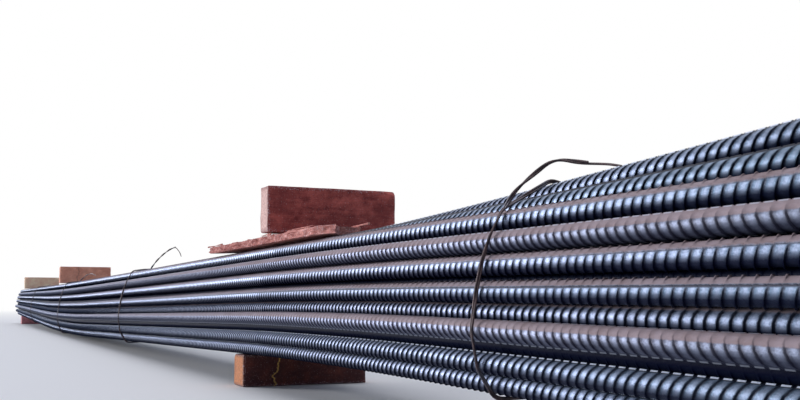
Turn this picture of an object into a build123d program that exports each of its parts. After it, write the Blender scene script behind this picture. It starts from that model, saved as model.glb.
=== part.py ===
from build123d import *
from math import cos, hypot, pi, radians, sin, sqrt
import os

# A two-tonne bundle of ribbed reinforcing bars, tied with wire, lying on two bearers.
# X runs along the bars, the front face looks towards -Y, and Z is up from the floor.
# Lengths are millimetres. The origin is on the floor, under the middle of the bundle.

# Bars
bar_count = 58
bar_length = 9000
bar_diameter = 26.6
bar_clearance = 0.4
simple_sides = 12
corner_clearance = 0.02

# Bars of the front face, from the bottom up: how far each stands back from the foremost one,
# and how high it lies above the lowest bars, both in bar pitches
front_bars = [
    (0.80, 0.00),
    (0.25, 0.84),
    (0.00, 2.15),
    (0.25, 3.72),
    (0.50, 4.80),
    (0.85, 5.77),
    (1.35, 6.64),
    (2.36, 6.75),
    (3.37, 6.80),
]

# Outline that the rest of the bundle fills, in bar pitches from the same two lines. A higher
# power makes it squarer, because the spacers press the bundle flat
outline_middle = (3.98, 3.40)
outline_reach = (4.10, 3.42)
outline_power = 3
shown_share = 0.74
seat_tolerance = 0.9999

# Timber
timber_length = 270
timber_set_back = 15
bearer_width = 75
bearer_height = 65
spacer_width = 50
spacer_height = 91
board_length = 810
board_thickness = 20
board_set_back = 62
timber_edge = 2
seat_gap = 0.3

# Corners of the board's splintered outline, from its middle
board_corners = [
    (-405, -47),
    (348, -47),
    (380, -28),
    (405, -20),
    (364, 0),
    (372, 28),
    (356, 47),
    (-364, 47),
    (-332, 9),
]

# Places along X
near_bearer_x = 2506
far_bearer_x = -4124
belly_x = -900
board_x = 2605
spacer_places = [("near", 2673), ("middle", -1197), ("far", -3960)]
tie_places = [("near", 3575), ("second", 1120), ("third", -865), ("far", -2700)]

# How the bars hang: straight from a crest near the near bearer, they droop towards the near
# end, where the top ones rise in a dome, and sag and part towards the belly between the bearers
crest_x = 3010
near_droop = 15
dome_lift = 85
dome_from = 5.4
dome_middle = 4.2
dome_reach = 3.3
belly_sag = 56
belly_parting = 1.3
belly_width = 1.05

# Wire ties
wire_diameter = 5
wire_sides = 6
wire_clearance = 0.4
tail_bend = 12
knot_turn = radians(30)
tie_tails = {
    "near": [(0, 0, 0), (14, 12, 20), (45, 28, 32), (95, 38, 29), (142, 46, 12)],
    "second": [(0, 0, 0), (20, 10, 28), (48, 22, 44), (75, 34, 22)],
    "third": [(0, 0, 0), (16, 12, 18), (44, 30, 20)],
    "far": [(0, 0, 0), (18, 8, 12), (40, 20, 10)],
}

pitch = bar_diameter + bar_clearance
bar_radius = bar_diameter / 2
near_end_x = bar_length / 2
far_end_x = -bar_length / 2
tie_reach = bar_radius + wire_clearance + wire_diameter
front_reach = tie_reach + (belly_width - 1) * outline_middle[0] * pitch
front_bar_y = (front_reach - timber_set_back - timber_length) / 2
timber_middle_y = front_bar_y + timber_set_back + timber_length / 2
middle_y = front_bar_y + outline_middle[0] * pitch
board_y = front_bar_y + board_set_back
steepest = belly_sag / (near_bearer_x - belly_x)
crest_rise = steepest * (crest_x - near_bearer_x)
far_rise = belly_sag * (far_bearer_x - far_end_x) / (belly_x - far_bearer_x)
bearer_gap = seat_gap + steepest * bearer_width / 2
lowest_bar_z = bearer_height + bearer_gap + bar_radius
top_front_bar = (front_bars[-1][0] * pitch, front_bars[-1][1] * pitch)
wire_cut = wire_diameter / (2 + sqrt(2))


def seat_behind(first, second):
    """Centre of a bar that lies behind two others and against both, or None."""
    across = (second[0] - first[0], second[1] - first[1])
    apart = hypot(*across)
    if apart >= 2 * pitch:
        return None
    rise = sqrt(pitch**2 - apart**2 / 4) / apart
    middle = ((first[0] + second[0]) / 2, (first[1] + second[1]) / 2)
    turned = (-across[1] * rise, across[0] * rise)
    return max((middle[0] + side * turned[0], middle[1] + side * turned[1]) for side in (1, -1))


def seat_on_bearer(bar):
    """Centre of a bar that lies on the bearer, behind another low one."""
    if bar[1] >= pitch:
        return None
    return bar[0] + sqrt(pitch**2 - bar[1] ** 2), 0


def outline_share(bar):
    """Where a bar's centre lies between the bundle's middle, 0, and its outline, 1."""
    across = abs(bar[0] / pitch - outline_middle[0]) / outline_reach[0]
    up = abs(bar[1] / pitch - outline_middle[1]) / outline_reach[1]
    return (across**outline_power + up**outline_power) ** (1 / outline_power)


def is_free(seat, laid):
    """Whether a bar fits at a seat, inside the outline and clear of the bars laid so far."""
    if seat is None or seat[1] < 0 or outline_share(seat) > 1:
        return False
    return all(hypot(seat[0] - bar[0], seat[1] - bar[1]) > seat_tolerance * pitch for bar in laid)


def lay_bars():
    """Centres of all bars where the bundle is tight: set-back and height of each."""
    laid = [(back * pitch, height * pitch) for back, height in front_bars]
    while len(laid) < bar_count:
        seats = [seat_behind(a, b) for i, a in enumerate(laid) for b in laid[i + 1 :]]
        seats += [seat_on_bearer(bar) for bar in laid]
        laid.append(min(seat for seat in seats if is_free(seat, laid)))
    return laid


def dome(bar):
    """How far a bar rises towards the near end: most for the top bars of the middle."""
    off_middle = min(1, abs(bar[0] / pitch - dome_middle) / dome_reach)
    height_share = max(0, (bar[1] / pitch - dome_from) / (front_bars[-1][1] - dome_from))
    return dome_lift * cos(off_middle * pi / 2) ** 2 * height_share


def bend(bar, x):
    """Centre (y, z) of a bar at a place along the bundle."""
    stations = [
        (near_end_x, crest_rise - near_droop + dome(bar), 1, 1),
        (crest_x, crest_rise, 1, 1),
        (belly_x, -belly_sag, belly_parting, belly_width),
        (far_end_x, far_rise, 1, 1),
    ]
    for start, end in zip(stations, stations[1:]):
        if x >= end[0]:
            break
    share = (start[0] - x) / (start[0] - end[0])
    lift, parting, width = (a + (b - a) * share for a, b in zip(start[1:], end[1:]))
    y = middle_y + (front_bar_y + bar[0] - middle_y) * width
    return y, lowest_bar_z + lift + bar[1] * parting


bars = sorted(lay_bars(), key=lambda bar: bar[1])
bar_stations = [near_end_x, crest_x, belly_x, far_end_x]
layer_count = 8
layer_ends = [round(k * bar_count / layer_count) for k in range(layer_count + 1)]


def is_shown(bar):
    """Whether a bar lies in the outer ring, where it shows."""
    return outline_share(bar) > shown_share


def section(bar):
    """Profile of one bar: round where it shows, with fewer sides inside the bundle."""
    if is_shown(bar):
        return Circle(bar_radius)
    return RegularPolygon(pitch / 2 - corner_clearance, simple_sides)


os.makedirs("parts", exist_ok=True)

# Bars, in layers from the bottom up
for number, (first, last) in enumerate(zip(layer_ends, layer_ends[1:]), start=1):
    with BuildPart() as bar_layer:
        for bar in bars[first:last]:
            for x in bar_stations:
                with BuildSketch(Plane((x, *bend(bar, x)), x_dir=(0, 1, 0), z_dir=(1, 0, 0))):
                    section(bar)
            loft(ruled=True)
    bar_layer.part.label = f"bars_layer_{number}"
    export_step(bar_layer.part, f"parts/bars_layer_{number}.step")


def top_of_bars(x, half_width):
    """Height of the highest bar under a timber of some width across X."""
    places = [x - half_width, x + half_width]
    places += [station for station in bar_stations if abs(station - x) < half_width]
    return max(bend(bar, place)[1] for bar in bars for place in places) + bar_radius


# Bearers under the bundle, square sawn with broken edges
for name, x in (("near", near_bearer_x), ("far", far_bearer_x)):
    with BuildPart() as bearer:
        with BuildSketch(Plane.XZ.offset(-timber_middle_y - timber_length / 2)):
            with Locations((x, bearer_height / 2)):
                Rectangle(bearer_width, bearer_height)
        extrude(amount=timber_length)
        chamfer(bearer.edges().filter_by(Axis.Y), timber_edge)
    bearer.part.label = f"bearer_{name}"
    export_step(bearer.part, f"parts/bearer_{name}.step")

# Board lying along the top bars under the near spacer, with splintered ends
board_end = board_length / 2
board_z = top_of_bars(board_x, board_end) + seat_gap
with BuildPart() as board:
    with BuildSketch(Plane.XY.offset(board_z)):
        with BuildLine():
            Polyline(
                *[(board_x + along, board_y + across) for along, across in board_corners],
                close=True,
            )
        make_face()
    extrude(amount=board_thickness)
board.part.label = "board"
export_step(board.part, "parts/board.step")

# Spacers across the top, standing on edge
for name, x in spacer_places:
    on_board = abs(x - board_x) < board_end
    foot_z = board_z + board_thickness if on_board else top_of_bars(x, spacer_width / 2) + seat_gap
    with BuildPart() as spacer:
        with BuildSketch(Plane.XZ.offset(-timber_middle_y - timber_length / 2)):
            with Locations((x, foot_z + spacer_height / 2)):
                Rectangle(spacer_width, spacer_height)
        extrude(amount=timber_length)
        chamfer(spacer.edges().filter_by(Axis.Y), timber_edge)
    spacer.part.label = f"spacer_{name}"
    export_step(spacer.part, f"parts/spacer_{name}.step")


def hull_of(centres):
    """The centres that a string drawn tight round all of them would touch, in order."""
    start = min(centres)
    hull = [start]
    while True:
        last, corner = hull[-1], start
        for point in centres:
            turn = (corner[0] - last[0]) * (point[1] - last[1]) - (corner[1] - last[1]) * (point[0] - last[0])
            if corner == last or turn < 0:
                corner = point
        if corner == start:
            return hull
        hull.append(corner)


# Wire ties, drawn tight round the bundle: a loop whose edges are cut back to suggest the
# round wire, and a twisted tail that leaves the loop over the top bar of the front face
for name, x in tie_places:
    held = hull_of([bend(bar, x) for bar in bars])
    with BuildPart() as tie:
        with BuildSketch(Plane.YZ.offset(x - wire_diameter / 2)):
            with BuildLine():
                Polyline(*held, close=True)
            make_face()
            offset(amount=tie_reach, kind=Kind.INTERSECTION)
            offset(amount=-wire_diameter, kind=Kind.INTERSECTION, mode=Mode.SUBTRACT)
        extrude(amount=wire_diameter)
        chamfer(tie.edges().filter_by(Plane.YZ), wire_cut)
        corner_y, corner_z = bend(top_front_bar, x)
        knot_y = corner_y - (tie_reach - wire_diameter / 2) * sin(knot_turn)
        knot_z = corner_z + (tie_reach - wire_diameter / 2) * cos(knot_turn)
        with BuildLine():
            route = [(x + dx, knot_y + dy, knot_z + dz) for dx, dy, dz in tie_tails[name]]
            tail = FilletPolyline(*route, radius=tail_bend)
        with BuildSketch(Plane(tail @ 0, z_dir=tail % 0)):
            RegularPolygon(wire_diameter / 2, wire_sides)
        sweep(path=tail)
    tie.part.label = f"tie_{name}"
    export_step(tie.part, f"parts/tie_{name}.step")
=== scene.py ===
"""A tied bundle of ribbed reinforcing bars on two timber bearers, with spacers on top."""

import logging
import math
import random
from dataclasses import dataclass, field
from enum import Enum

import bmesh
import bpy
import numpy as np
from mathutils import Matrix, Vector, noise


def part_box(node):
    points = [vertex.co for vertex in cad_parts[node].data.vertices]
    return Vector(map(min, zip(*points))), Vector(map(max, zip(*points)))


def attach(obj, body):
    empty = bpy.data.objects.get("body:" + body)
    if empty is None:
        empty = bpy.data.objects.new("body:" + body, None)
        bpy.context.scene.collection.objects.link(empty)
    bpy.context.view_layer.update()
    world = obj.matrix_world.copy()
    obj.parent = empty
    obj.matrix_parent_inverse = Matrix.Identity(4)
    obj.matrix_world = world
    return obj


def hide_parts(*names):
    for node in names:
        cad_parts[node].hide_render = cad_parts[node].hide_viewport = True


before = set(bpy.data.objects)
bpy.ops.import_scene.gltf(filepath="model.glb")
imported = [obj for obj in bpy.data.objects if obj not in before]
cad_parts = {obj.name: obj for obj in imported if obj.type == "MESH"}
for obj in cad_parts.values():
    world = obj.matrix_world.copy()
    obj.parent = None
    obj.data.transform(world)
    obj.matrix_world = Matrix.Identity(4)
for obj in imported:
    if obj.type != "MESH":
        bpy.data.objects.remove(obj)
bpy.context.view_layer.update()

log = logging.getLogger("rebar_bundle")

Colour = tuple[float, float, float, float]

ROOT = "root"
LAYER_NODES = [f"bars_layer_{number}" for number in range(1, 9)]
TIE_NAMES = ("near", "second", "third", "far")

PITCH = 0.027
CAD_RADIUS = 0.0133
CAD_WIRE = 0.005
NEAR_END = 4.5
THICK_DUST = 0.8
MERGE = 1e-5
SEED = 25

# Values that each bar carries for the steel's shader, among them the share of painted shade on a buried bar
# and the strength of the painted highlight on its ridges
BAR_VALUES = ("bar_tone", "bar_rust", "rib_bump", "bar_roll", "bar_painted_shade", "painted_ridge_highlight")


class RibDetail(Enum):
    """How much of a bar's ribs is modelled, and how much its bump draws."""

    FULL = "full"
    LIGHT = "light"
    PLAIN = "plain"


# Angles of half a bar's section in degrees, from one ridge to the other
SECTIONS = {
    RibDetail.FULL: (0, 9, 26, 50, 75, 105, 130, 154, 171),
    RibDetail.LIGHT: (0, 38, 90, 142),
    RibDetail.PLAIN: (0, 30, 60, 90, 120, 150),
}
DRAWN_RIBS = {RibDetail.FULL: 0.0, RibDetail.LIGHT: 0.2, RibDetail.PLAIN: 1.0}

# Shader nodes


class Signal:
    """What a shader socket carries, a number or a colour, and the nodes that follow from it."""

    def __init__(self, socket: bpy.types.NodeSocket) -> None:
        """Keeps the socket."""
        self.socket = socket

    def math(self, operation: str, *others: object) -> "Signal":
        """Adds a Math node.

        Args:
            operation: The node's operation.
            others: Signals or numbers for its other inputs.

        Returns:
            Its result.
        """
        node = self.socket.id_data.nodes.new("ShaderNodeMath")
        node.operation = operation
        for socket, value in zip(node.inputs, (self, *others)):
            feed(socket, value)
        return Signal(node.outputs[0])

    def ranged(
        self, start: "Signal | float", end: float, low: float = 0.0, high: float = 1.0
    ) -> "Signal":
        """Adds a Map Range node that stays between its two results.

        Args:
            start: The value that gives the low result.
            end: The value that gives the high result.
            low: The low result.
            high: The high result.

        Returns:
            Its result.
        """
        node = self.socket.id_data.nodes.new("ShaderNodeMapRange")
        for socket, value in zip(node.inputs, (self, start, end, low, high)):
            feed(socket, value)
        return Signal(node.outputs[0])

    def split(self) -> list["Signal"]:
        """Splits a vector.

        Returns:
            Its X, Y and Z.
        """
        node = self.socket.id_data.nodes.new("ShaderNodeSeparateXYZ")
        feed(node.inputs[0], self)
        return [Signal(socket) for socket in node.outputs]

    def noise(
        self, scale: "Signal | float", stretch: "Signal | tuple[float, float, float]" = (1, 1, 1),
        detail: float = 4, roughness: float = 0.6,
    ) -> "Signal":
        """Adds a Noise texture that reads this vector.

        Args:
            scale: The noise's scale, per metre.
            stretch: Factor of each coordinate.
            detail: The noise's detail.
            roughness: The noise's roughness.

        Returns:
            The noise, between 0 and 1.
        """
        tree = self.socket.id_data
        mapping = tree.nodes.new("ShaderNodeMapping")
        feed(mapping.inputs["Vector"], self)
        feed(mapping.inputs["Scale"], stretch)
        texture = add_node(tree, "ShaderNodeTexNoise", Scale=scale, Detail=detail, Roughness=roughness)
        feed(texture.inputs["Vector"], mapping.outputs[0])
        return Signal(texture.outputs[0])

    def clamped(self) -> "Signal":
        """Keeps the Math node behind this number between 0 and 1."""
        self.socket.node.use_clamp = True
        return self

    def __add__(self, other: object) -> "Signal":
        """Adds another signal or number."""
        return self.math("ADD", other)

    def __sub__(self, other: object) -> "Signal":
        """Subtracts another signal or number."""
        return self.math("SUBTRACT", other)

    def __rsub__(self, other: float) -> "Signal":
        """Subtracts this signal from a number."""
        return self.math("MULTIPLY_ADD", -1.0, other)

    def __mul__(self, other: object) -> "Signal":
        """Multiplies by another signal or number."""
        return self.math("MULTIPLY", other)

    def __truediv__(self, other: object) -> "Signal":
        """Divides by another signal or number."""
        return self.math("DIVIDE", other)

    def __abs__(self) -> "Signal":
        """Takes the sign away."""
        return self.math("ABSOLUTE")


def feed(socket: bpy.types.NodeSocket, value: object) -> None:
    """Links a signal or socket to a socket, or sets it to a plain value.

    Args:
        socket: The socket that gets the value.
        value: A signal, a socket or a plain value.
    """
    if isinstance(value, Signal):
        value = value.socket
    if isinstance(value, bpy.types.NodeSocket):
        socket.id_data.links.new(value, socket)
    else:
        socket.default_value = value


def add_node(tree: bpy.types.NodeTree, kind: str, **values: object) -> bpy.types.Node:
    """Adds a shader node and sets its properties and inputs.

    Args:
        tree: The node tree that gets the node.
        kind: The node's type name.
        values: Properties by name, or inputs by name with blanks as underscores.

    Returns:
        The new node.
    """
    node = tree.nodes.new(kind)
    for name, value in values.items():
        if hasattr(node, name):
            setattr(node, name, value)
        else:
            feed(node.inputs[name.replace("_", " ")], value)
    return node


def attribute(tree: bpy.types.NodeTree, name: str) -> Signal:
    """Reads a mesh attribute."""
    return Signal(add_node(tree, "ShaderNodeAttribute", attribute_name=name).outputs["Fac"])


def object_place(tree: bpy.types.NodeTree) -> Signal:
    """Reads the Object coordinates."""
    return Signal(tree.nodes.new("ShaderNodeTexCoord").outputs["Object"])


def surface_normal(tree: bpy.types.NodeTree) -> list[Signal]:
    """Reads the X, Y and Z of the surface's normal."""
    return Signal(tree.nodes.new("ShaderNodeNewGeometry").outputs["Normal"]).split()


def mixed(share: Signal, first: object, second: object) -> Signal:
    """Mixes two colours.

    Args:
        share: 0 for the first colour and 1 for the second.
        first: A signal or a colour.
        second: A signal or a colour.

    Returns:
        The mixed colour.
    """
    node = share.socket.id_data.nodes.new("ShaderNodeMix")
    node.data_type = "RGBA"
    for socket, value in ((node.inputs[0], share), (node.inputs[6], first), (node.inputs[7], second)):
        feed(socket, value)
    return Signal(node.outputs[2])


def add_bump(shader: bpy.types.Node, height: Signal, strength: float, distance: float) -> None:
    """Gives a shader a Bump node.

    Args:
        shader: The Principled BSDF.
        height: The height that the bump reads.
        strength: The bump's strength.
        distance: How high the height's 1 is, in metres.
    """
    bump = add_node(shader.id_data, "ShaderNodeBump", Strength=strength, Distance=distance)
    feed(bump.inputs["Height"], height)
    feed(shader.inputs["Normal"], bump.outputs[0])


def seen_rays(tree: bpy.types.NodeTree) -> Signal:
    """Tells which rays show the white background: camera, glossy and transmission.

    Args:
        tree: The node tree that gets the nodes.

    Returns:
        1 for those rays and 0 for the others.
    """
    rays = tree.nodes.new("ShaderNodeLightPath").outputs
    seen = Signal(rays["Is Camera Ray"]).math("MAXIMUM", rays["Is Glossy Ray"])
    return seen.math("MAXIMUM", rays["Is Transmission Ray"])


def new_material(
    name: str, roughness: float, metallic: float = 0.0
) -> tuple[bpy.types.Material, bpy.types.Node]:
    """Starts a material on a Principled BSDF.

    Args:
        name: The material's name.
        roughness: Start value of the roughness.
        metallic: Start value of the metallic share.

    Returns:
        The material and its Principled BSDF.
    """
    material = bpy.data.materials.new(name)
    material.use_nodes = True
    shader = material.node_tree.nodes["Principled BSDF"]
    shader.inputs["Roughness"].default_value = roughness
    shader.inputs["Metallic"].default_value = metallic
    return material, shader


def new_group(
    name: str, inputs: dict[str, float | tuple[float, float, float]], outputs: tuple[str, ...]
) -> tuple[bpy.types.NodeTree, dict[str, Signal], bpy.types.Node]:
    """Starts a shader node group with named inputs and outputs.

    Args:
        name: The group's name.
        inputs: Each input's name and first value, a number or a vector.
        outputs: The outputs' names. They are all numbers.

    Returns:
        The group, a signal for each input, and the node that takes the outputs.
    """
    tree = bpy.data.node_groups.new(name, "ShaderNodeTree")
    for label, value in inputs.items():
        kind = "NodeSocketVector" if isinstance(value, tuple) else "NodeSocketFloat"
        tree.interface.new_socket(name=label, in_out="INPUT", socket_type=kind).default_value = value
    for label in outputs:
        tree.interface.new_socket(name=label, in_out="OUTPUT", socket_type="NodeSocketFloat")
    given = tree.nodes.new("NodeGroupInput").outputs
    return tree, {label: Signal(given[label]) for label in inputs}, tree.nodes.new("NodeGroupOutput")


def dust_group() -> bpy.types.NodeTree:
    """Rust dust that settles on the upper side of a bar, as a mask.

    Returns:
        The node group.
    """
    tree, given, out = new_group("settled_dust", {"Upward": 0.0, "Amount": 0.5, "Scale": 40.0}, ("Mask",))
    uneven = object_place(tree).noise(given["Scale"], detail=6, roughness=0.7)
    above = given["Upward"] - (1.15 - given["Amount"])
    feed(out.inputs["Mask"], (above * 8.0 + (uneven * 1.5 - 0.75)).clamped())
    return tree


def sawn_wood_group() -> bpy.types.NodeTree:
    """Marks of rough sawn wood: grain, stains, specks of dust, a crack and worn edges.

    Stretch draws the grain out along one axis. The crack wanders round a place along Y.

    Returns:
        The node group.
    """
    tree, given, out = new_group(
        "sawn_wood", {"Stretch": (1.0, 1.0, 1.0), "Crack": 0.0, "Wander": 0.05, "Width": 0.0028},
        ("Light", "Stain", "Specks", "Crack", "Pores", "Worn", "Relief"),
    )
    place = object_place(tree)
    grain = place.noise(110, given["Stretch"], 6, 0.7)
    mottle = place.noise(45, (1, 0.7, 0.9), 7, 0.78)
    dots = place.noise(420, detail=3)
    speckle = place.noise(260, detail=5, roughness=0.65)
    worn = attribute(tree, "edge_wear")
    wander = (place.noise(45, (1, 0.1, 1)) - 0.5) * given["Wander"]
    split = abs(place.split()[1] - wander - given["Crack"]).ranged(given["Width"], 0.0)
    marks = {
        "Light": (mottle * 0.7 + grain * 0.3).ranged(0.40, 0.60),
        "Stain": place.noise(14).ranged(0.42, 0.62, 0.0, 0.8),
        "Specks": (worn * (mottle * 0.22) + dots).ranged(0.62, 0.74, 0.0, 0.85),
        "Crack": split * dots.ranged(0.40, 0.55, 0.25, 1.0),
        "Pores": speckle.ranged(0.45, 0.75, 0.0, 0.75),
        "Worn": worn * 0.6,
        "Relief": grain + speckle * 0.5,
    }
    for label, mark in marks.items():
        feed(out.inputs[label], mark)
    return tree


# Finishes


class BarReading:
    """What the steel's shader reads from a bar: its place, its sides, its ribs and its own values."""

    def __init__(self, tree: bpy.types.NodeTree, finish: "MillScale") -> None:
        """Reads the coordinates, the UV map and the attributes.

        Args:
            tree: The material's node tree.
            finish: The finish, which says where along the bundle its painted far sheen, far glints and rib
                shadows, and its dull, painted-shade near end start and end.
        """
        self.tree = tree
        self.place = object_place(tree)
        self.x = self.place.split()[0]
        self.painted_sheen_reach = self.x.ranged(*finish.painted_sheen_stretch)
        self.dull_and_shaded = self.x.ranged(*finish.dull_and_shade_stretch)
        self.far_glint_and_shadow = self.x.ranged(*finish.far_glint_and_shadow_stretch)
        uv = Signal(add_node(tree, "ShaderNodeUVMap", uv_map="around_and_along").outputs[0])
        around, self.along, _ = uv.split()
        # The dark value is the painted shade of a buried bar
        self.tone, self.rust, self.drawn, roll, self.dark, self.painted_ridge_glint = (
            attribute(tree, name) for name in BAR_VALUES
        )
        self.film = self.rust.ranged(THICK_DUST, THICK_DUST + 0.1)
        self.upward = (around * (2 * math.pi)).math("SINE")
        self.side = abs(((around - roll) * (2 * math.pi)).math("SINE"))
        self.fine = self.place.noise(900, (0.7, 1, 1), 3)
        self.specks = self.place.noise(520, (0.8, 1, 1), 2, 0.5)

    def beside_rib(self, start: float) -> Signal:
        """Distance along the bar from a place in each rib's spacing, 0 to a half."""
        return (self.along - start).math("PINGPONG", 0.5)


@dataclass(frozen=True)
class MillScale:
    """Blue-grey mill scale of hot-rolled bar, with rust dust on top.

    The stretches are places along the bundle, from where a change starts to where it is full. Besides its own
    colours the finish paints light: shade on undersides, buried bars and rib feet, highlights on ridges and
    lands, a sheen towards the far end and shade at the near end.
    """

    dust: bpy.types.NodeTree
    dark: Colour = (0.018, 0.030, 0.080, 1)
    light: Colour = (0.200, 0.240, 0.350, 1)
    teal: Colour = (0.055, 0.130, 0.190, 1)
    rust: Colour = (0.290, 0.220, 0.225, 1)
    brown: Colour = (0.200, 0.130, 0.118, 1)
    # Colours of the painted shadows at the rib feet, on bare and on dust-filmed bars
    painted_rib_shadow: Colour = (0.002, 0.003, 0.012, 1)
    painted_rusty_rib_shadow: Colour = (0.034, 0.027, 0.040, 1)
    # Painted shade for the undersides of the bars and for buried bars
    shadow: Colour = (0.0025, 0.0040, 0.019, 1)
    sheen: Colour = (0.870, 0.900, 1.000, 1)
    # Colour of the painted highlight dashes along the ridges
    ridge_highlight_colour: Colour = (0.82, 0.88, 1.0, 1)
    # Painted sheen: a paler, bluer tone that the bars take towards the far end
    pale: Colour = (0.360, 0.440, 0.640, 1)
    # Colour of the painted highlight on the land between ribs, towards the far end
    painted_land_glint: Colour = (0.500, 0.540, 0.720, 1)
    cut: Colour = (0.130, 0.120, 0.135, 1)
    cut_rust: Colour = (0.150, 0.085, 0.065, 1)
    # Painted shade at the near end, darker and more teal
    painted_near_shade: Colour = (0.050, 0.088, 0.108, 1)
    painted_sheen_stretch: tuple[float, float] = (3.2632, -2.0)
    dull_and_shade_stretch: tuple[float, float] = (3.4545, 4.3636)
    far_glint_and_shadow_stretch: tuple[float, float] = (4.3333, 3.2222)
    end_stretch: tuple[float, float] = (4.4935, 4.4940)
    rib_foot: float = 0.19
    rib_shadow_width: float = 0.13
    far_rib_shadow_widening: float = 0.20
    relief: float = 0.0011
    teal_share: float = 0.8
    painted_sheen_share: float = 0.7
    painted_near_shade_share: float = 0.62
    land_glint_share: float = 0.5
    dust_share: float = 0.9
    film_share: float = 0.18
    dust_scale: float = 160.0

    def material(self) -> bpy.types.Material:
        """Builds the material.

        Returns:
            The finished material.
        """
        material, shader = new_material("mill_scale", 0.36, 0.45)
        bar = BarReading(material.node_tree, self)
        mask, under = self.settled(bar), self.painted_under_shade(bar)
        colour = mixed(mask, self.scale_colour(bar), self.dust_colour(bar))
        colour = self.painted_rib_shade(bar, colour, mask)
        colour = mixed(under, colour, self.shadow)
        off_crest = bar.beside_rib(self.rib_foot / 2)
        # Painted highlight: bright dashes along the ridge between the ribs, with the metal taken out there
        ridge = bar.side.ranged(0.13, 0.0967) * off_crest.ranged(0.16, 0.1933) * bar.painted_ridge_glint
        colour = mixed(ridge, colour, self.ridge_highlight_colour)
        colour = self.cut_colour(bar, colour)
        feed(shader.inputs["Base Color"], colour)
        feed(shader.inputs["Roughness"], mask * 0.35 + 0.33 + bar.fine * 0.20 + bar.dull_and_shaded * 0.12)
        facing = Signal(bar.tree.nodes.new("ShaderNodeLayerWeight").outputs["Facing"])
        # Gloss by facing, taken away where the shade is painted
        steep = facing.ranged(1.25, 0.625) * (1.0 - under * 0.9)
        metal = (0.70 - mask * 0.65) * steep * (1.0 - ridge) * (1.0 - bar.dull_and_shaded * 0.45)
        feed(shader.inputs["Metallic"], metal)
        feed(shader.inputs["Specular IOR Level"], steep * 0.4)
        feed(shader.inputs["Specular Tint"], self.sheen)
        crest = off_crest.ranged(0.14, 0.0) * bar.side * bar.drawn
        add_bump(shader, crest + bar.fine * 0.15 + bar.specks * 0.14, 0.9, self.relief)
        return material

    def scale_colour(self, bar: BarReading) -> Signal:
        """Colour of the bare scale, streaked along the bar.

        Args:
            bar: What the shader reads from the bar.

        Returns:
            The colour.
        """
        streaks = bar.place.noise(90, (0.35, 1, 1), 5, 0.65)
        shade = (bar.specks * 0.6 + streaks * 0.6).ranged(0.46, 0.74)
        colour = mixed(shade, self.dark, self.light)
        colour = mixed(bar.tone * self.teal_share, colour, self.teal)
        # Painted sheen: paler and bluer towards the far end
        colour = mixed(bar.painted_sheen_reach * self.painted_sheen_share, colour, self.pale)
        # Painted shade at the near end, where the scale is also rougher and less metallic
        return mixed(bar.dull_and_shaded * self.painted_near_shade_share, colour, self.painted_near_shade)

    def settled(self, bar: BarReading) -> Signal:
        """How much dust lies where: most on top, and on some bars a thin film all round.

        Args:
            bar: What the shader reads from the bar.

        Returns:
            The share of dust.
        """
        settled = add_node(
            bar.tree, "ShaderNodeGroup", node_tree=self.dust,
            Scale=self.dust_scale, Amount=bar.rust, Upward=bar.upward,
        )
        share = Signal(settled.outputs["Mask"]) * self.dust_share
        return share.math("MAXIMUM", bar.film * self.film_share) * (1.0 - bar.painted_sheen_reach * 0.75)

    def dust_colour(self, bar: BarReading) -> Signal:
        """Colour of the dust, in lighter and browner patches."""
        return mixed(bar.place.noise(35, (0.6, 1, 1)).ranged(0.42, 0.66, 0.0, 0.7), self.rust, self.brown)

    def painted_rib_shade(self, bar: BarReading, colour: Signal, mask: Signal) -> Signal:
        """Paints shade at the feet of the ribs and in a band beside the ridge, and a painted highlight on the
        land between them.

        Args:
            bar: What the shader reads from the bar.
            colour: The colour so far.
            mask: The share of dust.

        Returns:
            The new colour.
        """
        film, far_glint_and_shadow = bar.film, bar.far_glint_and_shadow
        foot = bar.beside_rib(self.rib_foot)
        # Painted highlight on the land between the ribs, growing towards the far end
        land = foot.ranged(0.22, 0.42) * (far_glint_and_shadow * (1.0 - mask))
        colour = mixed(land * self.land_glint_share, colour, self.painted_land_glint)
        # The painted rib shadows grow wider towards the far end
        width = film * (1.5 * self.rib_shadow_width) + self.rib_shadow_width + far_glint_and_shadow * self.far_rib_shadow_widening
        foot = (1.0 - foot / width).clamped() * bar.side.ranged(0.0, 1 / 6)
        softness = film * 0.8 + 0.5 + far_glint_and_shadow * 0.35
        clean = (0.95 - mask * (film * 0.2 + 0.85)).clamped()
        # Painted shade in a band beside the ridge, below the dust
        beside = bar.side.ranged(0.24, 0.1289) * mask.ranged(0.5, 0.0)
        foot = (foot.math("POWER", softness) * clean).math("MAXIMUM", beside)
        return mixed(foot, colour, mixed(film, self.painted_rib_shadow, self.painted_rusty_rib_shadow))

    def painted_under_shade(self, bar: BarReading) -> Signal:
        """Paints shade on the underside: darker the more a place faces down, and dark all over buried bars.

        Args:
            bar: What the shader reads from the bar.

        Returns:
            The share of shadow.
        """
        under = (bar.specks * 0.5 - 0.35) - bar.upward * 1.9
        under = under.math("MINIMUM", 0.93) * (1.0 - bar.film * 0.35) * (1.0 - bar.painted_sheen_reach * 0.35)
        return under.math("MAXIMUM", bar.dark).clamped()

    def cut_colour(self, bar: BarReading, colour: Signal) -> Signal:
        """Shows steel with a little rust on the cut ends."""
        end = abs(bar.x).ranged(*self.end_stretch) * abs(surface_normal(bar.tree)[0]).ranged(0.97, 0.9867)
        return mixed(end, colour, mixed(bar.specks.ranged(0.42, 0.62), self.cut, self.cut_rust))


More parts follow.
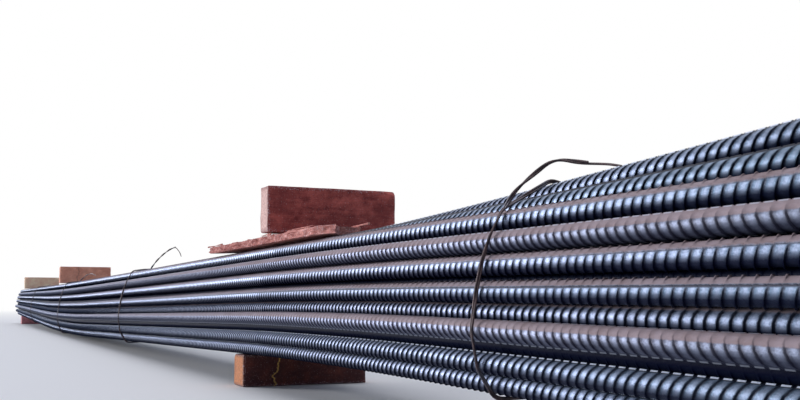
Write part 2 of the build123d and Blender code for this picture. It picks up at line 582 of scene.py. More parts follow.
@dataclass(frozen=True)
class AnnealedWire:
    """Dull black annealed wire with brown rust, rubbed bare in places."""

    black: Colour = (0.016, 0.012, 0.018, 1)
    brown: Colour = (0.085, 0.052, 0.054, 1)
    bare: Colour = (0.160, 0.165, 0.200, 1)

    def material(self) -> bpy.types.Material:
        """Builds the material.

        Returns:
            The finished material.
        """
        material, shader = new_material("annealed_wire", 0.5, 0.35)
        place = object_place(material.node_tree)
        colour = mixed(place.noise(90, detail=5).ranged(0.38, 0.62), self.black, self.brown)
        colour = mixed(place.noise(13, detail=3).ranged(0.54, 0.64, 0.0, 0.7), colour, self.bare)
        feed(shader.inputs["Base Color"], colour)
        add_bump(shader, place.noise(900, detail=3), 0.5, 0.0004)
        return material


@dataclass(frozen=True)
class SawnTimber:
    """Rough sawn softwood: grain along one axis, paler sawn ends, dust specks and cracks.

    A crack is given by its place along Y.
    """

    wood: bpy.types.NodeTree
    name: str
    dark: Colour
    light: Colour
    end_tint: Colour
    grain_axis: int = 1
    crack: float | None = None
    fresh: Colour = (0.95, 0.58, 0.15, 1)
    speck: Colour = (0.60, 0.47, 0.47, 1)
    grain_stretch: float = 0.06

    def material(self) -> bpy.types.Material:
        """Builds the material.

        Returns:
            The finished material.
        """
        material, shader = new_material(self.name, 0.8)
        shader.inputs["Specular IOR Level"].default_value = 0.2
        tree = material.node_tree
        stretch = [1.0, 1.0, 1.0]
        stretch[self.grain_axis] = self.grain_stretch
        wood = add_node(tree, "ShaderNodeGroup", node_tree=self.wood, Stretch=stretch)
        marks = {label: Signal(socket) for label, socket in wood.outputs.items()}
        colour = mixed(marks["Light"], self.dark, self.light)
        colour = mixed(marks["Stain"], colour, self.dark)
        colour = mixed(marks["Specks"], colour, self.speck)
        if self.crack is not None:
            feed(wood.inputs["Crack"], self.crack)
            colour = mixed(marks["Crack"], colour, self.fresh)
        ends = mixed(marks["Pores"], self.end_tint, self.dark)
        ends = mixed(marks["Specks"], mixed(marks["Worn"], ends, self.dark), self.speck)
        facing = abs(surface_normal(tree)[self.grain_axis]).ranged(0.6, 0.9)
        feed(shader.inputs["Base Color"], mixed(facing, colour, ends))
        add_bump(shader, marks["Relief"], 0.8, 0.0015)
        return material


# Meshes


def to_mesh(shaped: bmesh.types.BMesh, name: str) -> bpy.types.Mesh:
    """Turns a finished bmesh into a mesh and frees it.

    Args:
        shaped: The bmesh.
        name: The mesh's name.

    Returns:
        The mesh.
    """
    mesh = bpy.data.meshes.new(name)
    shaped.to_mesh(mesh)
    shaped.free()
    return mesh


def cut(shaped: bmesh.types.BMesh, place: Vector, normal: Vector, clear: bool = False) -> None:
    """Cuts a whole bmesh by a plane, and can clear what lies on the normal's side."""
    whole = [*shaped.verts, *shaped.edges, *shaped.faces]
    bmesh.ops.bisect_plane(shaped, geom=whole, plane_co=place, plane_no=normal, clear_outer=clear)


def grit(x: float, y: float, z: float, shift: float = 0.0) -> float:
    """Gives smooth noise between 0 and 1, the same at the same place."""
    return 0.5 + 0.5 * noise.noise(Vector((x, y, z)) + Vector((shift, 0, 0)))


def new_curve(kind: str, points: list[Vector]) -> tuple[bpy.types.Curve, bpy.types.Spline]:
    """Starts a curve with one spline.

    Args:
        kind: The spline's type.
        points: Its points.

    Returns:
        The curve and its spline.
    """
    line = bpy.data.curves.new("line", "CURVE")
    line.dimensions = "3D"
    spline = line.splines.new(kind)
    spline.points.add(len(points) - 1)
    for point, place in zip(spline.points, points):
        point.co = (*place, 1)
    return line, spline


def curve_mesh(line: bpy.types.Curve) -> bpy.types.Mesh:
    """Turns a curve into a mesh and removes it.

    Args:
        line: The curve.

    Returns:
        The mesh.
    """
    holder = bpy.data.objects.new(line.name, line)
    bpy.context.scene.collection.objects.link(holder)
    bpy.context.view_layer.update()
    mesh = bpy.data.meshes.new_from_object(holder.evaluated_get(bpy.context.evaluated_depsgraph_get()))
    bpy.data.objects.remove(holder)
    bpy.data.curves.remove(line)
    return mesh


def finish_piece(name: str, mesh: bpy.types.Mesh, material: bpy.types.Material, node: str) -> None:
    """Makes a mesh a finished piece of the bundle.

    Args:
        name: The piece's name.
        mesh: Its mesh, in place.
        material: Its material.
        node: The CAD node that it stands for, alone or with its like.
    """
    piece = bpy.data.objects.new(name, mesh)
    bpy.context.scene.collection.objects.link(piece)
    mesh.materials.append(material)
    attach(piece, ROOT)
    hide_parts(node)
    log.info("%s: %d triangles", name, sum(len(face.vertices) - 2 for face in mesh.polygons))


@dataclass(frozen=True)
class BarPath:
    """Centre line of one bar, through the stations of its CAD solid.

    Each bend is an inner station's index and how far its rounding reaches.
    """

    xs: tuple[float, ...]
    ys: tuple[float, ...]
    zs: tuple[float, ...]
    bends: tuple[tuple[int, float], ...] = ((1, 1.1), (2, 0.5))

    @property
    def seat(self) -> tuple[float, float]:
        """Gives the centre's Y and Z at the crest, where the bundle is tight."""
        return self.ys[2], self.zs[2]

    def centre(self, x: np.ndarray) -> tuple[np.ndarray, np.ndarray]:
        """Gives the centre's Y and Z at places along the bundle, with the bends rounded."""
        return self.rounded(x, self.ys), self.rounded(x, self.zs)

    def rounded(self, x: np.ndarray, values: tuple[float, ...]) -> np.ndarray:
        """One coordinate along the bar, with a parabola at each inner station.

        Args:
            x: Places along the bundle.
            values: The coordinate at each station.

        Returns:
            The coordinate at each place.
        """
        result = np.interp(x, self.xs, values)
        slopes = np.diff(values) / np.diff(self.xs)
        for index, reach in self.bends:
            turn = slopes[index] - slopes[index - 1]
            inside = np.clip(reach - np.abs(x - self.xs[index]), 0, None)
            result = result + turn * inside**2 / (4 * reach)
        return result


@dataclass
class RibbedBar:
    """One ribbed bar: a core with two rows of slanting ribs and two ridges along it.

    A rib's profile holds places in its spacing and the share of its height at each. The ribs
    rise from the ridges as the sine of the angle does, and thick dust fills them from above.
    """

    path: BarPath
    detail: RibDetail
    roll: float
    lean: float
    tone: float
    rust: float
    # Share of painted shade all over a buried bar
    dark: float
    # Strength of the painted highlight on its ridges
    painted_ridge_glint: float
    seed: int
    core_radius: float = 0.01165
    rib_height: float = 0.0016
    ridge_height: float = 0.0013
    rib_spacing: float = 0.0145
    overrun: float = 0.02
    fine_from: float = 2.7
    sharp_turn: float = math.radians(24)
    ridge_notch: float = 0.6
    fine_profile: tuple[tuple[float, float], ...] = ((0.0, 0.0), (0.05, 1.0), (0.12, 1.0), (0.17, 0.0))
    coarse_profile: tuple[tuple[float, float], ...] = ((0.09, 1.0), (0.19, 0.0))
    plain_rings: int = 60
    plain_share: float = 0.25
    crescent_from: float = 0.08
    crescent_rise: float = 0.75
    filled_from: float = 0.66
    filled_over: float = 0.4
    filled_rib: float = 0.06
    uneven_end: float = 0.006

    def angles(self) -> np.ndarray:
        """Gives the angles of the section's corners from one ridge, closed at a full turn."""
        side = SECTIONS[self.detail]
        return np.radians([*side, *(180 + angle for angle in side), 360])

    def rings(self) -> tuple[np.ndarray, np.ndarray]:
        """Places of the rings along the bar, in rib spacings, and the rib's share at each.

        Returns:
            The places and the shares.
        """
        start = (-NEAR_END - self.overrun) / self.rib_spacing
        end = (NEAR_END + self.overrun) / self.rib_spacing
        if self.detail is RibDetail.PLAIN:
            return np.linspace(start, end, self.plain_rings), np.full(self.plain_rings, self.plain_share)
        fine_from = self.fine_from / self.rib_spacing if self.detail is RibDetail.FULL else end
        steps, shares = [], []
        for number in range(math.floor(start), math.ceil(end)):
            for place, share in self.fine_profile if number > fine_from else self.coarse_profile:
                steps.append(number + place)
                shares.append(share)
        return np.array(steps), np.array(shares)

    def build(self) -> bpy.types.Mesh:
        """Builds the bar's mesh from a grid bent round its centre line.

        Returns:
            The mesh, in place.
        """
        angles = self.angles()
        steps, shares = self.rings()
        shaped = bmesh.new()
        shaped.loops.layers.uv.new("around_and_along")
        bmesh.ops.create_grid(
            shaped, x_segments=len(angles) - 1, y_segments=len(steps) - 1, size=0.5, calc_uvs=True
        )
        mesh = to_mesh(shaped, "bar")
        self.wrap(mesh, angles, steps, shares)
        self.close(mesh)
        self.mark(mesh)
        return mesh

    def wrap(self, mesh: bpy.types.Mesh, angles: np.ndarray, steps: np.ndarray, shares: np.ndarray) -> None:
        """Bends the flat grid round the bar's centre line.

        Args:
            mesh: The grid's mesh.
            angles: Angle of each column.
            steps: Place of each ring, in rib spacings.
            shares: How much of the rib's height each ring has.
        """
        flat = np.empty(len(mesh.vertices) * 3, np.float32)
        mesh.vertices.foreach_get("co", flat)
        flat = flat.reshape(-1, 3)
        column = np.rint((flat[:, 0] + 0.5) * (len(angles) - 1)).astype(int)
        row = np.rint((flat[:, 1] + 0.5) * (len(steps) - 1)).astype(int)
        angle = angles[column]
        side = np.abs(np.sin(angle))
        crescent = np.clip((side - self.crescent_from) / self.crescent_rise, 0, 1)
        if self.rust > THICK_DUST:
            above = self.filled_from - np.sin(angle + self.roll)
            crescent *= np.clip(above / self.filled_over, self.filled_rib, 1)
        ridge = np.where(side < 0.05, 1 - self.ridge_notch * shares[row], 0.0)
        rib = self.rib_height * crescent * shares[row]
        radius = self.core_radius + np.maximum(rib, self.ridge_height * ridge)
        x = steps[row] * self.rib_spacing + self.lean * self.core_radius * np.cos(angle)
        centre_y, centre_z = self.path.centre(x)
        turned = angle + self.roll
        placed = np.stack([x, centre_y + radius * np.cos(turned), centre_z + radius * np.sin(turned)], axis=1)
        mesh.vertices.foreach_set("co", placed.astype(np.float32).ravel())
        uv_layer = mesh.uv_layers["around_and_along"]
        corner = np.empty(len(mesh.loops), np.int32)
        mesh.loops.foreach_get("vertex_index", corner)
        uv = np.stack([turned[corner] / (2 * math.pi), steps[row[corner]]], axis=1)
        uv_layer.uv.foreach_set("vector", uv.astype(np.float32).ravel())

    def close(self, mesh: bpy.types.Mesh) -> None:
        """Joins the seam and cuts both ends square.

        Args:
            mesh: The bar's mesh.
        """
        spread = random.Random(self.seed)
        shaped = bmesh.new()
        shaped.from_mesh(mesh)
        bmesh.ops.remove_doubles(shaped, verts=shaped.verts, dist=MERGE)
        for side in (1, -1):
            end = side * (NEAR_END - spread.uniform(0.0, self.uneven_end))
            cut(shaped, Vector((end, 0, 0)), Vector((side, 0, 0)), clear=True)
            rim = [edge for edge in shaped.edges if edge.is_boundary and edge.verts[0].co.x * side > 0]
            bmesh.ops.edgeloop_fill(shaped, edges=rim)
        bmesh.ops.recalc_face_normals(shaped, faces=shaped.faces)
        for face in shaped.faces:
            face.smooth = len(face.verts) <= 4
        for edge in shaped.edges:
            first, second = edge.verts
            lengthwise = abs(first.co.x - second.co.x) > 0.7 * edge.calc_length()
            edge.smooth = lengthwise or edge.calc_face_angle(0) < self.sharp_turn
        shaped.to_mesh(mesh)
        shaped.free()

    def mark(self, mesh: bpy.types.Mesh) -> None:
        """Gives the mesh the values that the finish reads.

        Args:
            mesh: The bar's mesh.
        """
        turn, drawn = self.roll / (2 * math.pi), DRAWN_RIBS[self.detail]
        values = (self.tone, self.rust, drawn, turn, self.dark, self.painted_ridge_glint)
        for name, value in zip(BAR_VALUES, values):
            layer = mesh.attributes.new(name, "FLOAT", "POINT")
            layer.data.foreach_set("value", np.full(len(mesh.vertices), value, np.float32))


@dataclass
class BarLook:
    """How one bar of the front face looks.

    Its height and set-back are in bar pitches. The ridge is where one of its two ridges lies,
    in degrees from the back over the top to the front.
    """

    height: float
    set_back: float
    ridge: float
    lean: float
    tone: float
    rust: float
    # Strength of the painted highlight on its ridges
    painted_ridge_glint: float


@dataclass
class BarBundle:
    """All bars of the bundle, where their CAD solids lie.

    Heights and reaches that choose a bar's detail are in bar pitches, as its look's are.
    """

    material: bpy.types.Material
    looks: list[BarLook] = field(default_factory=lambda: [
        BarLook(0.00, 0.80, 122, -0.75, 0.2, 0.0, 1.0),
        BarLook(0.84, 0.25, 104, -0.75, 0.3, 0.15, 1.0),
        BarLook(2.15, 0.00, 73, 0.50, 0.0, 0.87, 0.25),
        BarLook(2.84, 0.72, 100, -0.30, 0.0, 0.45, 0.0),
        BarLook(3.72, 0.25, 153, -0.75, 0.3, 0.74, 0.0),
        BarLook(4.80, 0.50, 147, -0.75, 0.1, 0.74, 0.0),
        BarLook(5.77, 0.85, 99, 0.35, 0.1, 0.88, 0.35),
        BarLook(6.64, 1.35, 145, -0.75, 0.3, 0.74, 0.0),
        BarLook(6.75, 2.36, 110, -0.75, 0.6, 0.15, 0.0),
        BarLook(6.80, 3.37, 100, -0.75, 0.2, 0.0, 0.8),
    ])
    paths: list[BarPath] = field(default_factory=list)
    top_bar: BarPath | None = None
    look_reach: float = 0.3
    neighbour_reach: float = 1.35 * PITCH
    outer_neighbours: int = 6
    # Painted shade all over a buried bar, for the dark between bars
    buried_painted_shade: float = 0.97
    front_reach: float = 1.0
    top_height: float = 6.2
    top_reach: float = 4.6
    low_height: float = 1.6

    def read_paths(self, node: str) -> list[BarPath]:
        """Centre lines of the bars in one CAD node, from the rings of its solids.

        Args:
            node: The node's name.

        Returns:
            One path for each bar.
        """
        shaped = bmesh.new()
        shaped.from_mesh(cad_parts[node].data)
        bmesh.ops.remove_doubles(shaped, verts=shaped.verts, dist=MERGE)
        unseen = set(shaped.verts)
        paths = []
        while unseen:
            island, waiting = set(), [next(iter(unseen))]
            while waiting:
                vert = waiting.pop()
                if vert not in island:
                    island.add(vert)
                    waiting.extend(edge.other_vert(vert) for edge in vert.link_edges)
            unseen -= island
            rings: dict[float, list[Vector]] = {}
            for vert in island:
                rings.setdefault(round(vert.co.x, 3), []).append(vert.co)
            xs = sorted(rings)
            middles = [(np.min(rings[x], axis=0) + np.max(rings[x], axis=0)) / 2 for x in xs]
            paths.append(BarPath(
                tuple(xs), tuple(float(m[1]) for m in middles), tuple(float(m[2]) for m in middles)
            ))
        shaped.free()
        return sorted(paths, key=lambda path: path.seat[::-1])

    def build(self) -> None:
        """Builds every bar of every layer."""
        layers = {node: self.read_paths(node) for node in LAYER_NODES}
        self.paths = [path for paths in layers.values() for path in paths]
        front = min(path.seat[0] for path in self.paths)
        low = min(path.seat[1] for path in self.paths)
        number = 0
        for node, paths in layers.items():
            for place, path in enumerate(paths, start=1):
                number += 1
                y, z = path.seat
                bar = self.dressed(path, number, (y - front) / PITCH, (z - low) / PITCH)
                name = f"{node.replace('_layer', '')}_{place}"
                finish_piece(name, bar.build(), self.material, node)

    def dressed(self, path: BarPath, number: int, set_back: float, height: float) -> RibbedBar:
        """Chooses a bar's ribs, tint and rust.

        Args:
            path: The bar's centre line.
            number: The bar's number, for its chance values.
            set_back: How far it stands behind the foremost bar, in pitches.
            height: How high it lies above the lowest bar, in pitches.

        Returns:
            The bar, not yet built.
        """
        spread = random.Random(SEED * 1000 + number)
        for look in self.looks:
            if math.hypot(look.height - height, look.set_back - set_back) < self.look_reach:
                if look is self.looks[-1]:
                    self.top_bar = path
                roll = math.radians(look.ridge - 180)
                return RibbedBar(
                    path, RibDetail.FULL, roll, look.lean, look.tone, look.rust, 0.0, look.painted_ridge_glint, number
                )
        buried = self.buried(path)
        on_top = height > self.top_height and set_back < self.top_reach
        if buried:
            detail = RibDetail.PLAIN
        elif on_top or set_back < self.front_reach:
            detail = RibDetail.FULL
        else:
            detail = RibDetail.LIGHT if height > self.low_height else RibDetail.PLAIN
        return RibbedBar(
            path, detail, spread.uniform(0, math.pi), spread.choice((-0.75, 0.75)), spread.uniform(0, 0.7),
            spread.uniform(0.1, 0.7), self.buried_painted_shade if buried else 0.0, 0.0, number,
        )

    def buried(self, path: BarPath) -> bool:
        """Tells whether a bar has neighbours on all sides, itself counted too."""
        near = sum(math.dist(other.seat, path.seat) < self.neighbour_reach for other in self.paths)
        return near > self.outer_neighbours


def tube_mesh(points: list[Vector], radius: float, closed: bool, sides: int = 2) -> bpy.types.Mesh:
    """Makes a round wire along points.

    Args:
        points: The wire's centre line.
        radius: Its radius.
        closed: Whether it closes on itself.
        sides: Resolution of its section.

    Returns:
        The wire's mesh.
    """
    line, spline = new_curve("POLY", points)
    line.bevel_depth = radius
    line.bevel_resolution = sides
    line.use_fill_caps = not closed
    spline.use_cyclic_u = closed
    mesh = curve_mesh(line)
    for polygon in mesh.polygons:
        polygon.use_smooth = len(polygon.vertices) <= 4
    return mesh


@dataclass
class WireTie:
    """A wire drawn tight round the bundle, its ends twisted into a tail."""

    name: str
    x: float
    tail: list[tuple[float, float, float]]
    paths: list[BarPath]
    top_bar: BarPath
    material: bpy.types.Material
    strand_radius: float = 0.0014
    strand_gap: float = 0.0012
    second_share: float = 0.75
    lay: float = 0.30
    tail_lay: float = 0.08
    step: float = 0.004
    clearance: float = 0.0004
    knot_turn: float = math.radians(30)

    @property
    def reach(self) -> float:
        """Distance from a bar's centre to the middle of the pair of strands."""
        return CAD_RADIUS + self.clearance + self.strand_gap + self.strand_radius

    def held(self) -> list[tuple[float, float]]:
        """Centres of the bars that the tie touches, in order round the bundle.

        Returns:
            The centres, Y and Z.
        """
        at = np.array([self.x])
        centres = [tuple(float(value[0]) for value in path.centre(at)) for path in self.paths]
        start = min(centres)
        hull = [start]
        while True:
            last, corner = hull[-1], start
            for point in centres:
                across, up = corner[0] - last[0], corner[1] - last[1]
                turn = across * (point[1] - last[1]) - up * (point[0] - last[0])
                if corner == last or turn < 0:
                    corner = point
            if corner == start:
                return hull
            hull.append(corner)

    def loop(self) -> list[Vector]:
        """Centre line of the loop: straight between bars and bent round each.

        Returns:
            Points a small step apart.
        """
        hull = self.held()
        count = len(hull)
        points = []
        for index, (y, z) in enumerate(hull):
            before, after = hull[index - 1], hull[(index + 1) % count]
            start = math.atan2(z - before[1], y - before[0]) - math.pi / 2
            end = math.atan2(after[1] - z, after[0] - y) - math.pi / 2
            sweep = (end - start) % (2 * math.pi)
            for part in range(5):
                angle = start + sweep * part / 4
                out, up = self.reach * math.cos(angle), self.reach * math.sin(angle)
                points.append(Vector((self.x, y + out, z + up)))
        return resampled(points, self.step, closed=True)

    def build(self) -> None:
        """Builds the loop's two strands and the twisted tail as one piece."""
        loop, tail = self.loop(), self.tail_line()
        strands = [(self.twisted(loop, phase, True), True) for phase in (0, math.pi)]
        strands += [(self.twisted(tail, 0, False), False)]
        strands += [(self.twisted(tail, math.pi, False)[:round(len(tail) * self.second_share)], False)]
        meshes = [tube_mesh(line, self.strand_radius, closed) for line, closed in strands]
        shaped = bmesh.new()
        for mesh in meshes:
            shaped.from_mesh(mesh)
            bpy.data.meshes.remove(mesh)
        bmesh.ops.recalc_face_normals(shaped, faces=shaped.faces)
        name = f"tie_{self.name}_wire"
        finish_piece(name, to_mesh(shaped, name), self.material, f"tie_{self.name}")

    def tail_line(self) -> list[Vector]:
        """Centre line of the tail, a smooth curve from the knot.

        Returns:
            Points a small step apart.
        """
        y, z = (float(value[0]) for value in self.top_bar.centre(np.array([self.x])))
        knot = Vector((
            self.x, y - self.reach * math.sin(self.knot_turn), z + self.reach * math.cos(self.knot_turn)
        ))
        line, spline = new_curve("NURBS", [knot + Vector(offset) for offset in self.tail])
        spline.order_u = 3
        spline.use_endpoint_u = True
        spline.resolution_u = 16
        mesh = curve_mesh(line)
        points = [vert.co.copy() for vert in mesh.vertices]
        bpy.data.meshes.remove(mesh)
        return resampled(points, self.step, closed=False)

    def twisted(self, points: list[Vector], phase: float, closed: bool) -> list[Vector]:
        """One strand of a twisted pair round a centre line.

        Args:
            points: The pair's centre line.
            phase: The strand's place in the twist.
            closed: Whether the line closes on itself.

        Returns:
            The strand's centre line.
        """
        count = len(points)
        turns = max(1, round(count * self.step / (self.lay if closed else self.tail_lay)))
        strand = []
        for index, point in enumerate(points):
            before = points[index - 1] if closed or index else point
            after = points[(index + 1) % count] if closed or index < count - 1 else point
            along = (after - before).normalized()
            side = Vector((1, 0, 0)) - along * along.x
            side.normalize()
            out = along.cross(side)
            angle = phase + 2 * math.pi * turns * index / count
            strand.append(point + (side * math.cos(angle) + out * math.sin(angle)) * self.strand_gap)
        return strand


def resampled(points: list[Vector], step: float, closed: bool) -> list[Vector]:
    """Points an even step apart along a line of straight runs.

    Args:
        points: The line's corners.
        step: The distance between points.
        closed: Whether the line closes on itself.

    Returns:
        The even points.
    """
    line = [*points, points[0]] if closed else points
    lengths = np.cumsum([0.0, *((b - a).length for a, b in zip(line, line[1:]))])
    count = max(2, round(lengths[-1] / step))
    places = np.linspace(0, lengths[-1], count, endpoint=not closed)
    axes = [np.interp(places, lengths, [point[axis] for point in line]) for axis in range(3)]
    return [Vector(values) for values in zip(*axes)]


@dataclass
class WoodenPiece:
    """A wooden piece in the place of its CAD node, worked round the origin.

    Each kind has its own block and its own weather.
    """

    node: str
    finish: SawnTimber
    seed: int
    cells: tuple[int, int, int]

    def build(self) -> None:
        """Builds the piece: its block, cut into cells, weathered and moved into place."""
        low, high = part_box(self.node)
        size, middle = high - low, (low + high) / 2
        shaped = self.block(size, middle)
        self.cut_into_cells(shaped, size)
        bmesh.ops.triangulate(shaped, faces=[face for face in shaped.faces if len(face.verts) > 4])
        wear = shaped.verts.layers.float.new("edge_wear")
        for vert in shaped.verts:
            vert[wear] = self.weather(vert, size)
        self.add_splinters(shaped, size)
        bmesh.ops.translate(shaped, vec=middle, verts=shaped.verts)
        name = f"{self.node}_wood"
        finish_piece(name, to_mesh(shaped, name), self.finish.material(), self.node)

    def cut_into_cells(self, shaped: bmesh.types.BMesh, size: Vector) -> None:
        """Divides the block into cells by planes across each axis.

        Args:
            shaped: The block.
            size: Its size.
        """
        for axis, count in enumerate(self.cells):
            for number in range(1, count):
                place, normal = Vector((0, 0, 0)), Vector((0, 0, 0))
                place[axis], normal[axis] = size[axis] * (number / count - 0.5), 1
                cut(shaped, place, normal)

    def add_splinters(self, shaped: bmesh.types.BMesh, size: Vector) -> None:
        """Adds nothing to sawn timber."""


@dataclass
class Timber(WoodenPiece):
    """A length of rough sawn timber."""

    cells: tuple[int, int, int] = (7, 36, 9)
    chips: int = 5
    chip_depth: float = 0.006
    ragged_end: float = 0.002
    roughness: float = 0.0011
    wear: float = 0.0022
    skin: float = 0.004

    def block(self, size: Vector, middle: Vector) -> bmesh.types.BMesh:
        """Makes a block with worn edges and chipped corners.

        Args:
            size: Its size.
            middle: Where it will stand, not used.

        Returns:
            The block.
        """
        shaped = bmesh.new()
        bmesh.ops.create_cube(shaped, size=1.0)
        bmesh.ops.scale(shaped, vec=size, verts=shaped.verts)
        bmesh.ops.bevel(
            shaped, geom=shaped.edges[:], offset=self.wear, segments=2, profile=0.5, affect="EDGES",
            material=-1,
        )
        spread = random.Random(self.seed)
        for _ in range(self.chips):
            corner = Vector([spread.choice((-1, 1)) for _ in range(3)])
            along = spread.choice((0.25, 0.6, 1.0))
            outward = Vector((corner.x, corner.y * along, corner.z)).normalized()
            tip = Vector([corner[axis] * size[axis] / 2 for axis in range(3)])
            depth = spread.uniform(0.4, 1.0) * self.chip_depth
            cut(shaped, tip - outward * (depth + self.wear), outward, clear=True)
            bmesh.ops.holes_fill(shaped, edges=[edge for edge in shaped.edges if edge.is_boundary])
        return shaped

    def weather(self, vert: bmesh.types.BMVert, size: Vector) -> float:
        """Moves one vertex inwards by an uneven amount: streaks along the grain, ragged ends.

        Args:
            vert: The vertex.
            size: The block's size.

        Returns:
            Its wear, 1 on edges.
        """
        spot = vert.co.copy()
        outside = [abs(spot[axis]) > size[axis] / 2 - self.skin for axis in range(3)]
        streak = grit(spot.x * 90, spot.y * 9, spot.z * 90, self.seed)
        pull = self.roughness * (0.6 * streak + 0.6 * grit(*(spot * 25), self.seed))
        for axis in (0, 2):
            if outside[axis]:
                vert.co[axis] -= math.copysign(pull, spot[axis])
        if outside[1]:
            torn = grit(spot.x * 70, 0, spot.z * 70, self.seed)
            vert.co.y -= math.copysign(self.ragged_end * torn, spot.y)
        return float(sum(outside) > 1)


@dataclass
class SplinteredBoard(WoodenPiece):
    """The split board under the near spacer, its edges torn into splinters.

    The upper side is torn by shares of the thickness. Its ends and edges are torn past a share
    of the way from the middle.
    """

    cells: tuple[int, int, int] = (90, 7, 4)
    splinters: int = 26
    splinter_length: tuple[float, float] = (0.05, 0.16)
    splinter_radius: tuple[float, float] = (0.0018, 0.0034)
    tip_radius: float = 0.0002
    torn_share: float = 0.42
    fine_share: float = 0.22
    end_from: float = 0.85
    end_tear: float = 0.20
    edge_from: float = 0.7
    edge_tear: float = 0.013

    def block(self, size: Vector, middle: Vector) -> bmesh.types.BMesh:
        """Starts from the board's CAD outline.

        Args:
            size: Its size, not used.
            middle: Where it stands.

        Returns:
            The board, round the origin.
        """
        shaped = bmesh.new()
        shaped.from_mesh(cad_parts[self.node].data)
        bmesh.ops.remove_doubles(shaped, verts=shaped.verts, dist=MERGE)
        bmesh.ops.translate(shaped, vec=-middle, verts=shaped.verts)
        return shaped

    def weather(self, vert: bmesh.types.BMVert, size: Vector) -> float:
        """Tears the upper side, the ends and the edges.

        Args:
            vert: The vertex.
            size: The board's size.

        Returns:
            Its wear.
        """
        spot = vert.co.copy()
        fine = grit(spot.x * 110, spot.y * 160, 7)
        share = (spot.z + size.z / 2) / size.z
        torn = self.torn_share * grit(spot.x * 26, spot.y * 120, 3) + self.fine_share * fine
        vert.co.z -= share * size.z * torn
        end = abs(spot.x) / (size.x / 2) - self.end_from
        if end > 0:
            fibre = grit(5, spot.y * 110, spot.z * 160)
            vert.co.x -= math.copysign(self.end_tear * end * fibre, spot.x)
        edge = abs(spot.y) / (size.y / 2) - self.edge_from
        if edge > 0:
            notch = grit(spot.x * 55, math.copysign(9, spot.y), spot.z * 130)
            vert.co.y -= math.copysign(self.edge_tear * notch * edge / (1 - self.edge_from), spot.y)
        return fine

    def add_splinters(self, shaped: bmesh.types.BMesh, size: Vector) -> None:
        """Lays long thin splinters along the edges and the ends.

        Args:
            shaped: The board, round the origin.
            size: Its size.
        """
        spread = random.Random(self.seed)
        for _ in range(self.splinters):
            length = spread.uniform(*self.splinter_length)
            reach = size.x / 2 - length / 2 - 0.004
            place = Vector((
                spread.uniform(-reach, reach),
                spread.choice((-1, -1, 1)) * (size.y / 2 - spread.uniform(0.006, 0.016)),
                spread.uniform(-0.3, 0.38) * size.z,
            ))
            made = bmesh.ops.create_cone(
                shaped, cap_ends=True, segments=5, radius1=spread.uniform(*self.splinter_radius),
                radius2=self.tip_radius, depth=length,
            )
            laid = Matrix.Rotation(spread.choice((-1, 1)) * math.pi / 2, 3, "Y")
            askew = Matrix.Rotation(spread.uniform(-0.05, 0.05), 3, "Z")
            for turn in (laid, askew):
                bmesh.ops.rotate(shaped, verts=made["verts"], matrix=turn)
            bmesh.ops.translate(shaped, vec=place, verts=made["verts"])


# Surroundings


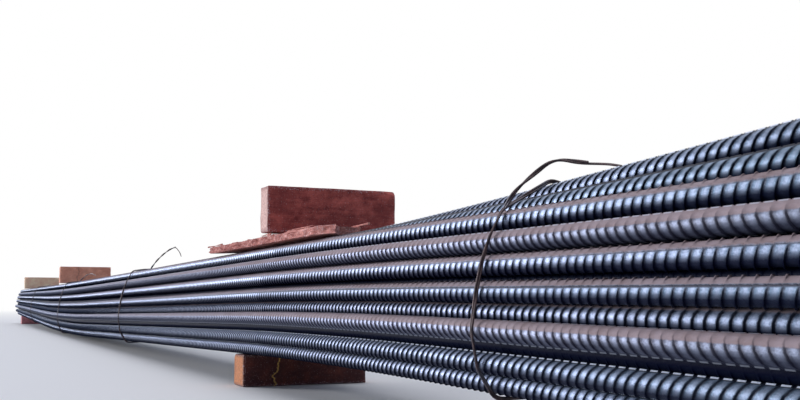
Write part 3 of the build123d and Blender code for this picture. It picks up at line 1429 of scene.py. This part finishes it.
@dataclass(frozen=True)
class Studio:
    """The floor, the lamps, the world and the camera.

    Each lamp has its name, its direction, its strength and its spread in degrees.
    """

    floor_reach: float = 60.0
    floor_colour: Colour = (0.84, 0.82, 0.79, 1)
    floor_fade: tuple[float, float] = (5.143, 19.429)
    sky_colour: Colour = (0.58, 0.70, 1.0, 1)
    sky_strength: float = 0.36
    lamp_colour: tuple[float, float, float] = (0.94, 0.95, 1.0)
    lamps: tuple[tuple[str, tuple[float, float, float], float, float], ...] = (
        ("key_lamp", (0.72, 0.68, -0.15), 2.7, 24), ("top_lamp", (0.15, 0.10, -1.0), 1.2, 60),
    )
    camera_place: tuple[float, float, float] = (4.5435, -0.6684, 0.1702)
    camera_turn: float = math.radians(24.27)
    camera_rise: float = math.radians(5.87)
    lens: float = 45.0

    def build(self) -> None:
        """Builds everything round the bundle."""
        self.build_floor()
        self.build_world()
        self.build_lamps()
        self.build_camera()

    def build_floor(self) -> None:
        """Makes the pale floor, which turns white far away."""
        shaped = bmesh.new()
        bmesh.ops.create_grid(shaped, x_segments=1, y_segments=1, size=self.floor_reach)
        ground = bpy.data.objects.new("floor", to_mesh(shaped, "floor"))
        bpy.context.scene.collection.objects.link(ground)
        material, shader = new_material("pale_floor", 0.9)
        tree = material.node_tree
        shader.inputs["Base Color"].default_value = self.floor_colour
        length = add_node(tree, "ShaderNodeVectorMath", operation="LENGTH")
        feed(length.inputs[0], object_place(tree))
        away = Signal(length.outputs["Value"]).ranged(*self.floor_fade)
        white = add_node(tree, "ShaderNodeEmission", Color=(1, 1, 1, 1), Strength=1.0)
        mix = tree.nodes.new("ShaderNodeMixShader")
        for socket, value in zip(mix.inputs, (away * seen_rays(tree), shader.outputs[0], white.outputs[0])):
            feed(socket, value)
        feed(tree.nodes["Material Output"].inputs[0], mix.outputs[0])
        ground.data.materials.append(material)

    def build_world(self) -> None:
        """Makes the soft light that comes from all round, white to the camera."""
        world = bpy.data.worlds.new("soft_sky")
        bpy.context.scene.world = world
        world.use_nodes = True
        tree = world.node_tree
        tree.nodes.clear()
        light = add_node(tree, "ShaderNodeBackground", Color=self.sky_colour, Strength=self.sky_strength)
        white = add_node(tree, "ShaderNodeBackground", Color=(1, 1, 1, 1), Strength=1.0)
        mix = tree.nodes.new("ShaderNodeMixShader")
        for socket, value in zip(mix.inputs, (seen_rays(tree), light.outputs[0], white.outputs[0])):
            feed(socket, value)
        feed(tree.nodes.new("ShaderNodeOutputWorld").inputs[0], mix.outputs[0])

    def build_lamps(self) -> None:
        """Lights the front face from the far left, and the top from above."""
        for name, toward, power, spread in self.lamps:
            lamp = bpy.data.lights.new(name, "SUN")
            lamp.energy = power
            lamp.color = self.lamp_colour
            lamp.angle = math.radians(spread)
            holder = bpy.data.objects.new(name, lamp)
            holder.rotation_euler = Vector(toward).to_track_quat("-Z", "Y").to_euler()
            bpy.context.scene.collection.objects.link(holder)

    def build_camera(self) -> None:
        """Places the camera low beside the near end, looking along the bundle."""
        data = bpy.data.cameras.new("camera")
        data.lens = self.lens
        data.clip_start = 0.02
        data.clip_end = 200
        holder = bpy.data.objects.new("camera", data)
        bpy.context.scene.collection.objects.link(holder)
        level = math.cos(self.camera_rise)
        along, across = math.cos(self.camera_turn) * level, math.sin(self.camera_turn) * level
        look = Vector((-along, across, math.sin(self.camera_rise)))
        holder.location = self.camera_place
        holder.rotation_euler = look.to_track_quat("-Z", "Y").to_euler()
        bpy.context.scene.camera = holder


# Points of each tie's tail in millimetres, from the knot over the top bar of the front face
TAILS = {
    "near": [
        (0, -55, -31), (10, -55, -22), (19, -52, -13), (27, -44, -3), (33, -36, 5), (40, -27, 14),
        (43, -20, 18), (48, -10, 20), (58, 0, 17), (84, 14, 12), (109, 24, 6),
    ],
    "second": [
        (0, 0, 0), (20, 6, 16), (55, 20, 40), (100, 38, 61), (122, 50, 69), (142, 56, 71),
        (162, 61, 58), (182, 64, 38),
    ],
    "third": [(0, 0, 0), (30, 20, 28), (80, 42, 42), (130, 56, 38), (165, 60, 26)],
    "far": [(0, 0, 0), (18, 8, 12), (40, 20, 10)],
}


def main() -> None:
    """Builds the bundle piece by piece."""
    logging.basicConfig(level=logging.INFO, format="%(message)s")
    bpy.context.scene.view_settings.view_transform = "Standard"
    steel = MillScale(dust_group()).material()
    wire = AnnealedWire().material()
    bundle = BarBundle(steel)
    bundle.build()
    for name in TIE_NAMES:
        low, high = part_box(f"tie_{name}")
        tail = [(dx / 1000, dy / 1000, dz / 1000) for dx, dy, dz in TAILS[name]]
        WireTie(name, low.x + CAD_WIRE / 2, tail, bundle.paths, bundle.top_bar, wire).build()
    wood = sawn_wood_group()
    red = SawnTimber(
        wood, "red_timber", (0.19, 0.035, 0.032, 1), (0.58, 0.135, 0.105, 1), (0.78, 0.52, 0.45, 1)
    )
    rusty = SawnTimber(
        wood, "rusty_timber", (0.050, 0.016, 0.017, 1), (0.20, 0.055, 0.035, 1), (0.62, 0.25, 0.110, 1),
        crack=-0.045,
    )
    orange = SawnTimber(
        wood, "orange_timber", (0.66, 0.265, 0.170, 1), (0.98, 0.47, 0.30, 1), (0.85, 0.40, 0.26, 1),
        crack=-0.02, fresh=(0.08, 0.03, 0.03, 1),
    )
    cream = SawnTimber(
        wood, "cream_timber", (0.86, 0.50, 0.32, 1), (0.98, 0.76, 0.50, 1), (0.98, 0.74, 0.50, 1)
    )
    pink = SawnTimber(
        wood, "pink_timber", (0.56, 0.195, 0.200, 1), (0.94, 0.42, 0.43, 1), (0.82, 0.38, 0.39, 1)
    )
    salmon = SawnTimber(
        wood, "salmon_timber", (0.30, 0.080, 0.065, 1), (0.80, 0.36, 0.30, 1), (0.72, 0.34, 0.26, 1),
        grain_axis=0, speck=(0.85, 0.64, 0.62, 1),
    )
    for timber in (
        Timber("bearer_near", rusty, 11, chips=6),
        Timber("bearer_far", pink, 12),
        Timber("spacer_near", red, 13, chips=7),
        Timber("spacer_middle", orange, 14, chips=6, ragged_end=0.004),
        Timber("spacer_far", cream, 15, chips=9, chip_depth=0.02, ragged_end=0.012),
    ):
        timber.build()
    SplinteredBoard("board", salmon, 4).build()
    Studio().build()


if __name__ == "__main__":
    main()
